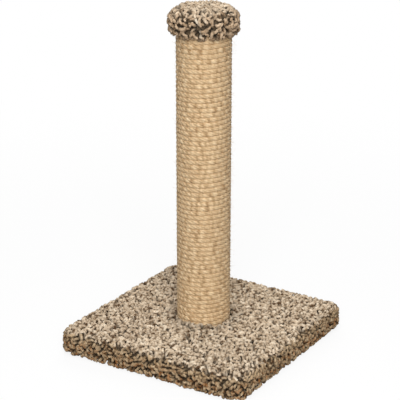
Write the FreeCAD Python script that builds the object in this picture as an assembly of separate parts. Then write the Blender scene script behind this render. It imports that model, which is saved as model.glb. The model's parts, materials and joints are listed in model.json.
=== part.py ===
"""A free-standing scratching post for cats: a carpeted square base, a round post wound with
sisal rope, and a carpeted cap. Millimetres, +Z up, origin at the middle of the underside."""

import FreeCAD, Part
import math
import os

from FreeCAD import Vector

# Base board, cut 14 1/2 inches square from 3/4 inch particle board.
BOARD_SIDE = 368.0
BOARD_THICKNESS = 19.0

# Carpet on the base, measured from the board to the tips of the pile.
PILE_ON_EDGES = 15.5
PILE_ON_TOP = 17.0
PILE_UNDER = 14.0
BACKING = 3.0
FOLD_WIDTH = 55.0
CORNER_RADIUS = 22.0
TOP_EDGE_RADIUS = 15.0
UNDER_EDGE_RADIUS = 18.0
FOLD_SPLAY = 5.0
FOOT_SPLAY = 4.0
CORNER_FACETS = 4
MITRE_WIDTH = 4.0
MITRE_DEPTH = 8.0

# Post: a paperboard tube with a wooden plug in each end.
TUBE_DIAMETER = 86.0
TUBE_WALL = 5.0
TUBE_LENGTH = 612.0
PLUG_THICKNESS = 19.0

# Sisal rope. Its lowest turns are wound one by one, and the rest is a plain winding.
ROPE_DIAMETER = 8.4
ROPE_SIDES = 4
TURN_GAP = 0.6
ROPE_LOOPS = 24
ROPE_START_DEG = 100.0
ROPE_TOP_INSET = 2.0
STEPS_PER_LOOP = 24

# Cap: a strip of carpet round the top of the post and a disc of carpet inside it.
CAP_PILE = 12.0
CAP_TOP_PILE = 15.0
CAP_HEIGHT = 47.0
SHOULDER_RADIUS = 26.0
CAP_LOWER_CURVE = 18.0
SEAM_WIDTH = 4.0
SEAM_DEPTH = 4.0
STRIP_SEAM_DEG = -68.0
STRIP_SEAM_GAP = 0.6
ROUND_FACETS = 8

# Staples of square wire, each driven through a narrow slot in the pile.
STAPLE_CROWN = 10.0
STAPLE_LEG = 12.0
STAPLE_WIRE = 1.2
FOLD_STAPLES_PER_SIDE = 3
FOLD_STAPLE_INSET = 16.0
PLUG_STAPLES = 3
CAP_DISC_STAPLES = 3
CAP_DISC_STAPLE_RADIUS = 24.0
CAP_STRIP_STAPLES = 4
ROPE_STAPLE_SINK = 0.8

# Bolt up through the board into a tee nut on the lower plug.
BOLT_DIAMETER = 8.0
BOLT_HEAD_FLATS = 13.0
BOLT_HEAD_HEIGHT = 5.3
BOLT_PAST_NUT = 4.0
WASHER_DIAMETER = 16.0
WASHER_THICKNESS = 1.6
BOLT_HOLE_CLEARANCE = 0.5
COUNTERBORE_DEPTH = 9.0
NUT_PLATE_SIDE = 20.0
NUT_PLATE_THICKNESS = 1.5
NUT_BARREL_DIAMETER = 11.0
NUT_BARREL_LENGTH = 12.0
NUT_PRONGS = 4
NUT_PRONG_LENGTH = 8.0
NUT_PRONG_WIDTH = 4.0

# Gaps between curved faces that seat on each other, and in the nut's unthreaded bore.
SEAT_GAP = 0.3
THREAD_GAP = 0.1

# How far a cutting shape passes the faces that it cuts.
CUT_MARGIN = 5.0

# Levels and radii that follow from the sizes above.
BOARD_BOTTOM = PILE_UNDER
BOARD_TOP = BOARD_BOTTOM + BOARD_THICKNESS
BASE_TOP = BOARD_TOP + PILE_ON_TOP
BASE_SIDE = BOARD_SIDE + 2 * PILE_ON_EDGES
TUBE_TOP = BOARD_TOP + TUBE_LENGTH
CAP_TOP = TUBE_TOP + CAP_TOP_PILE
CAP_BOTTOM = CAP_TOP - CAP_HEIGHT
TUBE_RADIUS = TUBE_DIAMETER / 2
TUBE_BORE = TUBE_RADIUS - TUBE_WALL
PLUG_RADIUS = TUBE_BORE - SEAT_GAP
ROPE_RADIUS = ROPE_DIAMETER / 2
ROPE_PATH_RADIUS = TUBE_RADIUS + SEAT_GAP + ROPE_RADIUS
WINDING_RADIUS = ROPE_PATH_RADIUS + ROPE_RADIUS
PITCH = ROPE_DIAMETER + TURN_GAP
RISE_PER_RADIAN = PITCH / (2 * math.pi)
ROPE_END_RUN = ROPE_DIAMETER
STRIP_BORE = WINDING_RADIUS + SEAT_GAP
CAP_RADIUS = STRIP_BORE + CAP_PILE
SEAT_LEVEL = BOARD_BOTTOM + COUNTERBORE_DEPTH
UP = Vector(0, 0, 1)


def cylinder(radius, low, high):
    return Part.makeCylinder(radius, high - low, Vector(0, 0, low))


def ring(bore, radius, low, high):
    return cylinder(radius, low, high).cut(cylinder(bore, low, high))


def block(size_x, size_y, low, high):
    return Part.makeBox(size_x, size_y, high - low, Vector(-size_x / 2, -size_y / 2, low))


def outline(half_side, corner_radius, level, facets):
    """Points of a square with faceted corners, or of a circle where it is all corner."""
    centre = half_side - corner_radius
    facets = facets if corner_radius else 0
    points = []
    for corner in range(4):
        side_x, side_y = ((1, 1), (-1, 1), (-1, -1), (1, -1))[corner]
        for step in range(facets + 1 if centre or not facets else facets):
            angle = math.radians(90 * corner + 90 * step / max(facets, 1))
            x = centre * side_x + corner_radius * math.cos(angle)
            y = centre * side_y + corner_radius * math.sin(angle)
            points.append(Vector(x, y, level))
    return points


def flat_face(points):
    return Part.Face(Part.makePolygon(points + points[:1]))


def stacked(outlines):
    """A solid of flat faces between outlines with as many points each, from below up."""
    faces = [flat_face(outlines[0]), flat_face(outlines[-1])]
    for lower, upper in zip(outlines, outlines[1:]):
        for number in range(len(lower)):
            left, right = number - 1, number
            faces.append(flat_face([lower[left], lower[right], upper[right], upper[left]]))
    return Part.Solid(Part.Shell(faces))


def stacked_square(rows, corner_radius, facets):
    """Each row gives half of the square's side and its level."""
    widest = max(half_side for half_side, level in rows)
    return stacked([outline(h, corner_radius - (widest - h), z, facets) for h, z in rows])


def stacked_round(rows):
    return stacked([outline(r, r, z, ROUND_FACETS) for r, z in rows])


def clear_of(radius):
    """The corner radius of a faceted hole whose flats stay outside that radius."""
    return radius / math.cos(math.pi / 4 / ROUND_FACETS)


def quarter_steps(count=3):
    """Sine and cosine along a quarter turn, from flat to upright."""
    turns = [math.pi / 2 * number / count for number in range(count + 1)]
    return [(math.sin(turn), math.cos(turn)) for turn in turns]


def line(a, b):
    return Part.LineSegment(a, b).toShape()


def staple(opening=0.0):
    """One staple with the outside of its crown at the origin and its legs along -X. With an
    opening it is the slot that the staple is driven through, open that far outwards."""
    half = STAPLE_CROWN / 2
    inner = half - STAPLE_WIRE
    corners = [
        (opening, -half), (opening, half), (-STAPLE_LEG, half), (-STAPLE_LEG, inner),
        (-STAPLE_WIRE, inner), (-STAPLE_WIRE, -inner), (-STAPLE_LEG, -inner),
        (-STAPLE_LEG, -half), (opening, -half),
    ]
    points = [Vector(x, y, -STAPLE_WIRE / 2) for x, y in corners]
    return Part.Face(Part.makePolygon(points)).extrude(UP * STAPLE_WIRE)


def placed(shape, steps):
    """A copy of the shape, turned and moved by the steps in their order."""
    copy = shape.copy()
    for kind, value, axis in steps:
        if kind == "turn":
            copy.rotate(Vector(), axis, value)
        else:
            copy.translate(axis * value)
    return copy


def fold_staple_steps():
    """Staples through the folded carpet under the board, crowns along its edges."""
    level = BOARD_BOTTOM - BACKING - STAPLE_WIRE
    from_middle = BOARD_SIDE / 2 - FOLD_WIDTH + FOLD_STAPLE_INSET
    spacing = 2 * (from_middle - FOLD_STAPLE_INSET) / (FOLD_STAPLES_PER_SIDE - 1)
    places = []
    for side in range(4):
        for number in range(FOLD_STAPLES_PER_SIDE):
            along = (number - (FOLD_STAPLES_PER_SIDE - 1) / 2) * spacing
            places.append([
                ("turn", 90, Vector(0, 1, 0)),
                ("move", level, UP),
                ("move", from_middle, Vector(1, 0, 0)),
                ("move", along, Vector(0, 1, 0)),
                ("turn", 90 * side, UP),
            ])
    return places


def round_staple_steps(count, radius, level, first_deg=0.0):
    """Staples driven towards the post's axis, evenly spaced round it."""
    return [
        [
            ("move", radius, Vector(1, 0, 0)),
            ("move", level, UP),
            ("turn", first_deg + 360 * number / count, UP),
        ]
        for number in range(count)
    ]


def cap_disc_staple_steps():
    """Staples driven down through the carpet disc into the upper plug."""
    return [
        [
            ("turn", -90, Vector(0, 1, 0)),
            ("move", TUBE_TOP + BACKING + STAPLE_WIRE, UP),
            ("move", CAP_DISC_STAPLE_RADIUS, Vector(1, 0, 0)),
            ("turn", 360 * (number + 0.5) / CAP_DISC_STAPLES, UP),
        ]
        for number in range(CAP_DISC_STAPLES)
    ]


def strip_staple_steps():
    level = CAP_BOTTOM + CAP_HEIGHT / 2
    first = STRIP_SEAM_DEG + 180 / CAP_STRIP_STAPLES
    radius = STRIP_BORE + BACKING + STAPLE_WIRE
    return round_staple_steps(CAP_STRIP_STAPLES, radius, level, first)


def plug_staple_steps(low):
    """Staples through the tube into a plug, sunk so that no end of a crown stands proud."""
    half_crown = STAPLE_CROWN / 2 + STAPLE_WIRE
    radius = math.sqrt(TUBE_RADIUS ** 2 - half_crown ** 2)
    return round_staple_steps(PLUG_STAPLES, radius, low + PLUG_THICKNESS / 2)


def rope_staple_steps():
    """One staple in each end of the rope, on the first turn and just under the rim."""
    radius = WINDING_RADIUS - ROPE_STAPLE_SINK
    turned = STAPLE_CROWN / ROPE_PATH_RADIUS
    first = round_staple_steps(1, radius, rope_point(turned).z, angle_deg(turned))
    last_level = TUBE_TOP - ROPE_TOP_INSET - ROPE_RADIUS
    return first + round_staple_steps(1, radius, last_level, ROPE_START_DEG)


def staples(places):
    return Part.makeCompound([placed(staple(), steps) for steps in places])


def without_staples(shape, places, opening):
    slot = staple(opening)
    return shape.cut([placed(slot, steps) for steps in places])


def base_board():
    board = block(BOARD_SIDE, BOARD_SIDE, BOARD_BOTTOM, BOARD_TOP)
    counterbore = cylinder(WASHER_DIAMETER / 2 + SEAT_GAP, BOARD_BOTTOM, SEAT_LEVEL)
    hole = cylinder(BOLT_DIAMETER / 2 + BOLT_HOLE_CLEARANCE, BOARD_BOTTOM, BOARD_TOP)
    return without_staples(board.cut([counterbore, hole]), fold_staple_steps(), 0.0)


def mitre_grooves():
    """The V where the folded carpet meets itself at each corner of the underside."""
    half = MITRE_WIDTH / 2
    corners = [Vector(0, -half, 0), Vector(0, half, 0), Vector(0, 0, MITRE_DEPTH)]
    face = Part.Face(Part.makePolygon(corners + corners[:1]))
    reach = BASE_SIDE / math.sqrt(2)
    prism = face.extrude(Vector(reach, 0, 0))
    return [placed(prism, [("turn", 45 + 90 * corner, UP)]) for corner in range(4)]


def carpeted_block():
    """The outside of the carpeted base, its edges rounded by the pile."""
    half = BASE_SIDE / 2
    under = [
        (half - UNDER_EDGE_RADIUS * (1 - sine), UNDER_EDGE_RADIUS * (1 - cosine))
        for sine, cosine in quarter_steps()
    ]
    top = [
        (half - TOP_EDGE_RADIUS * (1 - sine), BASE_TOP - TOP_EDGE_RADIUS * (1 - cosine))
        for sine, cosine in quarter_steps()
    ]
    return stacked_square(under + top[::-1], CORNER_RADIUS, CORNER_FACETS)


def fold_opening():
    """Where the fold ends under the board, its pile splayed towards the floor."""
    half = BOARD_SIDE / 2 - FOLD_WIDTH
    rows = [(half + FOLD_SPLAY, 0), (half, FOLD_SPLAY), (half, BOARD_BOTTOM)]
    return stacked([outline(h, 0, z, 0) for h, z in rows])


def foot_hole():
    """Clears the straight end of the rope, which leaves the winding along a tangent."""
    reach = math.hypot(ROPE_PATH_RADIUS, ROPE_END_RUN) + ROPE_RADIUS + SEAT_GAP
    radius = clear_of(reach)
    rows = [(radius, BOARD_TOP), (radius, BASE_TOP - FOOT_SPLAY), (radius + FOOT_SPLAY, BASE_TOP)]
    return stacked_round(rows)


def base_carpet():
    """One piece over the top and the edges, folded under the board and stapled there."""
    shape = carpeted_block().cut([fold_opening(), foot_hole()] + mitre_grooves())
    shape = shape.cut(block(BOARD_SIDE, BOARD_SIDE, BOARD_BOTTOM, BOARD_TOP))
    return without_staples(shape, fold_staple_steps(), PILE_UNDER)


def post_tube():
    tube = ring(TUBE_BORE, TUBE_RADIUS, BOARD_TOP, TUBE_TOP)
    places = plug_staple_steps(BOARD_TOP) + plug_staple_steps(TUBE_TOP - PLUG_THICKNESS)
    places += rope_staple_steps()
    return without_staples(tube, places, CUT_MARGIN)


def plug(low):
    disc = stacked_round([(PLUG_RADIUS, low), (PLUG_RADIUS, low + PLUG_THICKNESS)])
    return without_staples(disc, plug_staple_steps(low), 0.0)


def nut_prongs():
    """Pointed prongs bent down from the edges of the nut's plate into the plug."""
    top = BOARD_TOP + PLUG_THICKNESS
    radius = NUT_PLATE_SIDE / 2
    half = NUT_PRONG_WIDTH / 2
    corners = [Vector(radius, -half, top), Vector(radius, half, top)]
    corners.append(Vector(radius, 0, top - NUT_PRONG_LENGTH))
    face = Part.Face(Part.makePolygon(corners + corners[:1]))
    prong = face.extrude(Vector(-NUT_PLATE_THICKNESS, 0, 0))
    turns = [360 * number / NUT_PRONGS for number in range(NUT_PRONGS)]
    return [placed(prong, [("turn", turn, UP)]) for turn in turns]


def bottom_plug():
    high = BOARD_TOP + PLUG_THICKNESS
    hole = cylinder(NUT_BARREL_DIAMETER / 2 + SEAT_GAP, BOARD_TOP, high)
    return plug(BOARD_TOP).cut([hole] + nut_prongs())


def top_plug():
    return without_staples(plug(TUBE_TOP - PLUG_THICKNESS), cap_disc_staple_steps(), 0.0)


def tee_nut():
    seat = BOARD_TOP + PLUG_THICKNESS
    levels = (seat, seat + NUT_PLATE_THICKNESS)
    half = NUT_PLATE_SIDE / 2
    plate = stacked([outline(half, half / 2, level, 1) for level in levels])
    barrel = cylinder(NUT_BARREL_DIAMETER / 2, seat - NUT_BARREL_LENGTH, seat)
    bore_radius = BOLT_DIAMETER / 2 + THREAD_GAP
    bore = cylinder(bore_radius, seat - NUT_BARREL_LENGTH, seat + NUT_PLATE_THICKNESS)
    return plate.fuse([barrel] + nut_prongs()).cut(bore)


def bolt_washer():
    bore = BOLT_DIAMETER / 2 + BOLT_HOLE_CLEARANCE
    return ring(bore, WASHER_DIAMETER / 2, SEAT_LEVEL - WASHER_THICKNESS, SEAT_LEVEL)


def post_bolt():
    head_top = SEAT_LEVEL - WASHER_THICKNESS
    head_bottom = head_top - BOLT_HEAD_HEIGHT
    corner = BOLT_HEAD_FLATS / math.sqrt(3)
    turns = [math.radians(60 * number) for number in range(7)]
    hexagon = [Vector(corner * math.cos(t), corner * math.sin(t), head_bottom) for t in turns]
    head = Part.Face(Part.makePolygon(hexagon)).extrude(UP * BOLT_HEAD_HEIGHT)
    tip = BOARD_TOP + PLUG_THICKNESS + NUT_PLATE_THICKNESS + BOLT_PAST_NUT
    return head.fuse(cylinder(BOLT_DIAMETER / 2, head_top, tip))


def angle_deg(turned):
    return ROPE_START_DEG + math.degrees(turned)


def rope_point(turned):
    """The rope's middle line, after it has turned so many radians round the post."""
    angle = math.radians(angle_deg(turned))
    start = BOARD_TOP + SEAT_GAP + ROPE_RADIUS + RISE_PER_RADIAN * ROPE_END_RUN / ROPE_PATH_RADIUS
    along = RISE_PER_RADIAN * turned
    x, y = ROPE_PATH_RADIUS * math.cos(angle), ROPE_PATH_RADIUS * math.sin(angle)
    return Vector(x, y, start + along)


def rope_direction(turned):
    angle = math.radians(angle_deg(turned))
    along = Vector(-math.sin(angle), math.cos(angle), RISE_PER_RADIAN / ROPE_PATH_RADIUS)
    return along.normalize()


def tangent_arc(start, corner, end):
    """The arc from start to end that is tangent to both lines to the corner."""
    chord_middle = (start + end) * 0.5
    half_chord = (end - start).Length / 2
    to_corner = corner - chord_middle
    turn = 2 * math.atan2(to_corner.Length, half_chord)
    rise = half_chord * math.tan(turn / 4)
    middle = chord_middle + to_corner.normalize() * rise
    return Part.Arc(start, middle, end).toShape()


def half_turn(start_turned):
    """Two tangent arcs that follow the helix for half a turn."""
    end_turned = start_turned + math.pi
    start, end = rope_point(start_turned), rope_point(end_turned)
    leaving, arriving = rope_direction(start_turned), rope_direction(end_turned)
    chord = end - start
    squared = 2 * (leaving.dot(arriving) - 1)
    linear = -2 * chord.dot(leaving + arriving)
    root = math.sqrt(linear ** 2 - 4 * squared * chord.dot(chord))
    reach = (-linear - root) / (2 * squared)
    first_corner = start + leaving * reach
    second_corner = end - arriving * reach
    joint = (first_corner + second_corner) * 0.5
    return [tangent_arc(start, first_corner, joint), tangent_arc(joint, second_corner, end)]


def rope_path():
    last = 2 * math.pi * ROPE_LOOPS
    tail = rope_point(0) - rope_direction(0) * ROPE_END_RUN
    head = rope_point(last) + rope_direction(last) * ROPE_END_RUN
    edges = [line(tail, rope_point(0))]
    for number in range(2 * ROPE_LOOPS):
        edges += half_turn(math.pi * number)
    edges.append(line(rope_point(last), head))
    return Part.Wire(edges)


def print_least_gap(path):
    """Points along the path, each against those of the next loop, less the rope's width."""
    points = path.discretize(Number=ROPE_LOOPS * STEPS_PER_LOOP + 1)
    apart = STEPS_PER_LOOP // 2
    least = min(
        (points[i] - points[j]).Length
        for i in range(len(points))
        for j in range(i + apart, min(i + 3 * apart, len(points)))
    )
    print("least gap of the rope to itself: %.2f mm" % (least - ROPE_DIAMETER))


def rope_turns():
    """One unbroken length of rope from the foot of the post, loop by loop."""
    path = rope_path()
    print_least_gap(path)
    start = path.Edges[0].Vertexes[0].Point
    along = rope_direction(0)
    outward = along.cross(UP).normalize()
    upward = outward.cross(along)
    turns = [2 * math.pi * number / ROPE_SIDES for number in range(ROPE_SIDES)]
    corners = [
        start + (outward * math.cos(t) + upward * math.sin(t)) * ROPE_RADIUS for t in turns
    ]
    section = Part.makePolygon(corners + corners[:1])
    rope = path.makePipeShell([section], True, False)
    return without_staples(rope, rope_staple_steps()[:1], ROPE_DIAMETER)


def under_winding(start_turned):
    """What the last loop of rope takes up, over half a turn, with all that lies under it."""
    end_turned = start_turned + math.pi
    lift = Vector(0, 0, ROPE_RADIUS + TURN_GAP)
    rails = []
    for radius in (TUBE_RADIUS - CUT_MARGIN, WINDING_RADIUS + CUT_MARGIN):
        helix = Part.makeHelix(PITCH, PITCH / 2, radius)
        helix.rotate(Vector(), UP, angle_deg(start_turned))
        helix.translate(Vector(0, 0, rope_point(start_turned).z) + lift)
        rails.append(helix.Edges[0])
    ramp = Part.makeRuledSurface(rails[0], rails[1])
    depth = rope_point(end_turned).z - BOARD_TOP
    return ramp.extrude(Vector(0, 0, -depth))


def rope_winding():
    """The turns above the loops, as one plain sleeve that the last loop runs up to."""
    last = 2 * math.pi * ROPE_LOOPS
    low = rope_point(last - 2 * math.pi).z
    high = TUBE_TOP - ROPE_TOP_INSET
    sleeve = ring(TUBE_RADIUS + SEAT_GAP, WINDING_RADIUS, low, high)
    sleeve = sleeve.cut(under_winding(last - 2 * math.pi))
    sleeve = sleeve.cut(under_winding(last - math.pi))
    width = ROPE_DIAMETER + 2 * CUT_MARGIN
    end_room = Part.makeBox(
        width, ROPE_END_RUN + SEAT_GAP, PITCH,
        Vector(ROPE_PATH_RADIUS - width / 2, 0, rope_point(last).z + ROPE_RADIUS + TURN_GAP - PITCH),
    )
    end_room.rotate(Vector(), UP, angle_deg(last))
    sleeve = sleeve.cut(end_room)
    return without_staples(sleeve, strip_staple_steps() + rope_staple_steps()[1:], CUT_MARGIN)


def sisal_rope():
    return Part.makeCompound([rope_turns(), rope_winding()])


def shoulder_rows(inner, outer, steps):
    """Radius and level along the cap's rounded shoulder, from the outside up and inwards."""
    centre = CAP_RADIUS - SHOULDER_RADIUS
    first = math.asin((outer - centre) / SHOULDER_RADIUS)
    last = math.asin((inner - centre) / SHOULDER_RADIUS)
    leans = [first + (last - first) * number / steps for number in range(steps + 1)]
    level = CAP_TOP - SHOULDER_RADIUS
    return [
        (centre + SHOULDER_RADIUS * math.sin(lean), level + SHOULDER_RADIUS * math.cos(lean))
        for lean in leans
    ]


def cap_disc_carpet():
    """A disc of carpet on the rim of the tube, inside the strip."""
    shoulder = shoulder_rows(CAP_RADIUS - SHOULDER_RADIUS, WINDING_RADIUS - SEAM_WIDTH / 2, 2)
    side_top = shoulder[0][1] - SEAM_DEPTH
    side = [(WINDING_RADIUS, TUBE_TOP), (WINDING_RADIUS, side_top)]
    disc = stacked_round(side + shoulder)
    return without_staples(disc, cap_disc_staple_steps(), CAP_TOP_PILE)


def cap_strip_carpet():
    """A strip of carpet wound once round the top of the post, its ends butted together."""
    pile = CAP_PILE - BACKING
    lower = [
        (CAP_RADIUS - pile * (1 - sine), CAP_BOTTOM + CAP_LOWER_CURVE * (1 - cosine))
        for sine, cosine in quarter_steps()
    ]
    upper = shoulder_rows(STRIP_BORE + SEAM_WIDTH, CAP_RADIUS, 3)
    bore = stacked_round([(clear_of(STRIP_BORE), CAP_BOTTOM), (clear_of(STRIP_BORE), CAP_TOP)])
    strip = stacked_round(lower + upper).cut(bore)
    seam = Part.makeBox(
        CAP_RADIUS, STRIP_SEAM_GAP, CAP_HEIGHT, Vector(0, -STRIP_SEAM_GAP / 2, CAP_BOTTOM)
    )
    seam.rotate(Vector(), UP, STRIP_SEAM_DEG)
    return without_staples(strip.cut(seam), strip_staple_steps(), CAP_PILE)


PIECES = {
    "base_board": base_board,
    "base_carpet": base_carpet,
    "base_carpet_staples": lambda: staples(fold_staple_steps()),
    "post_tube": post_tube,
    "bottom_plug": bottom_plug,
    "bottom_plug_staples": lambda: staples(plug_staple_steps(BOARD_TOP)),
    "top_plug": top_plug,
    "top_plug_staples": lambda: staples(plug_staple_steps(TUBE_TOP - PLUG_THICKNESS)),
    "tee_nut": tee_nut,
    "bolt_washer": bolt_washer,
    "post_bolt": post_bolt,
    "sisal_rope": sisal_rope,
    "rope_end_staples": lambda: staples(rope_staple_steps()),
    "cap_disc_carpet": cap_disc_carpet,
    "cap_disc_staples": lambda: staples(cap_disc_staple_steps()),
    "cap_strip_carpet": cap_strip_carpet,
    "cap_strip_staples": lambda: staples(strip_staple_steps()),
}


def main():
    os.makedirs("parts", exist_ok=True)
    for name, make in PIECES.items():
        make().exportStep("parts/%s.step" % name)


main()
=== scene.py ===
"""A cat scratching post: a carpeted square base, a post wound in sisal rope and a carpeted cap.

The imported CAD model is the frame. Carpet and rope are made here and stand for its soft solids;
the board, tube, plugs and steel keep their solids and get a finish. Every size is in metres.
"""
import json
import math

import bpy
from bpy.props import FloatProperty, FloatVectorProperty, IntProperty, PointerProperty
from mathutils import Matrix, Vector

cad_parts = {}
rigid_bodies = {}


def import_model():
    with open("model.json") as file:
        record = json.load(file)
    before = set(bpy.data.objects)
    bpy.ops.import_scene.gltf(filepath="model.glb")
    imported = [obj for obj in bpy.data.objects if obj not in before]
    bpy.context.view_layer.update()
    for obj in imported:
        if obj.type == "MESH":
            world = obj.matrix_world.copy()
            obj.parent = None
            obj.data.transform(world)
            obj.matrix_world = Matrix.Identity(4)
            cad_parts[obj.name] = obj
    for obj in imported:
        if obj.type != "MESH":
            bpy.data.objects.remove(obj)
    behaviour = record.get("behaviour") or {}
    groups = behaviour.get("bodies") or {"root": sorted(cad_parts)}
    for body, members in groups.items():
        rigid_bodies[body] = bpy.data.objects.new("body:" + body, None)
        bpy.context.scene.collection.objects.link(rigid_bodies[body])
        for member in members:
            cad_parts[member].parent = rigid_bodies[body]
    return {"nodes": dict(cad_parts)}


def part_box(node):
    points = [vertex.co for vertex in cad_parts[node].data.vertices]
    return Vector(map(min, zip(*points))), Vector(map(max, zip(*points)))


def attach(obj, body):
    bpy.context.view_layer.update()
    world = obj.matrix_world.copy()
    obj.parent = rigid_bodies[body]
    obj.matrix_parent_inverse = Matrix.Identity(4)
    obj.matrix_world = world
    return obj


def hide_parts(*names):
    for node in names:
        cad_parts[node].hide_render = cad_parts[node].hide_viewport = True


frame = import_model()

bl_info = {
    "name": "Cat scratching post",
    "version": (1, 0, 0),
    "blender": (4, 5, 0),
    "location": "View3D > Sidebar > Scratching post",
    "description": "Makes the carpet, rope, finishes and stage of a cat scratching post",
    "category": "Add Mesh",
}

TURN = 2 * math.pi
MM = 0.001

# Corners of the CAD solids that carpet and rope stand for or lie on
BOARD_LOW, BOARD_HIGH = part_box("base_board")
CARPET_LOW, CARPET_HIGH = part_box("base_carpet")
STRIP_LOW, STRIP_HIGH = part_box("cap_strip_carpet")
DISC_LOW, DISC_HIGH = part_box("cap_disc_carpet")
ROPE_LOW, ROPE_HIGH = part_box("sisal_rope")
ROPE_OUTER = -ROPE_LOW.x

# Sizes of the CAD model that no corner gives, the first three of its roundings
BASE_CORNER = 22 * MM
BASE_TOP_EDGE = 15 * MM
CAP_SHOULDER = 26 * MM
FOLD_HALF = 129 * MM  # from the middle to the fold's edge under the board
ROPE_START = math.radians(100)
SEAM_BEARING = math.radians(-68)  # of the cap strip's butt seam

# Sizes that only the dressed part has
UNDER_EDGE = 12 * MM  # rounding of the pile's lower edge
FOOT_HOLE = 53 * MM  # radius of the hole in the carpet that the post stands in
BACKING_GAP = 0.3 * MM  # between the backing and the solid that it lies on
PRESSED_FLAT = 0.55  # the rope's thickness to its width
SEAM_LEVEL = 0.634  # where the seam has its bearing
SEAM_LEAN = 4.4  # in radians for a metre
CAP_LOWER_EDGE = 6 * MM, 15 * MM  # width and height of its rounding
CAP_SETTLED = 2.2 * MM  # how far the pile on the cap's top has sunk
SPLIT_LEVEL = 0.63  # the strip's pile meets the disc's above this level
SPLIT_DIP = 3 * MM  # how far the pile dips there, and how much further at the notch
NOTCH_DIP = 5 * MM
NOTCH_BEARING = math.radians(79)
NOTCH_WIDTH = math.radians(12)

LAMPS = (  # name, setting with its power, side, turned from the camera, elevation, distance
    ("front_lamp", "front_power", 1.8, 1, 30, 3.2),
    ("top_lamp", "top_power", 1.6, 0, 82, 2.6),
    ("back_lamp", "back_power", 2.0, 180, 34, 3.0),
)
LIT_POINT = Vector((0, 0, 0.3))


def paint(red, green, blue):
    """A colour given as it looks on screen, from 0 to 255, in Blender's linear light."""
    def linear(level):
        share = level / 255
        return share / 12.92 if share <= 0.04045 else ((share + 0.055) / 1.055) ** 2.4
    return linear(red), linear(green), linear(blue)


# ---------- node arithmetic


def sign(operation, reflected=False):
    """A method for an arithmetic sign, with the other side first where it is reflected."""
    def method(self, other):
        first, second = (other, self) if reflected else (self, other)
        return self.net.arithmetic(operation, first, second)
    return method


class Term:
    """One socket in a node tree, so that node maths reads as arithmetic."""

    __add__, __radd__ = sign("ADD"), sign("ADD", True)
    __sub__, __rsub__ = sign("SUBTRACT"), sign("SUBTRACT", True)
    __mul__, __rmul__ = sign("MULTIPLY"), sign("MULTIPLY", True)
    __truediv__, __rtruediv__ = sign("DIVIDE"), sign("DIVIDE", True)
    __pow__, __lt__, __gt__ = sign("POWER"), sign("LESS_THAN"), sign("GREATER_THAN")

    def __init__(self, net, socket):
        self.net = net
        self.socket = socket

    def beside(self, name):
        """Another output of the node that this one comes from."""
        return Term(self.net, self.net.find(self.socket.node.outputs, name))

    def is_vector(self):
        return self.socket.type in {"VECTOR", "RGBA"}


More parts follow.
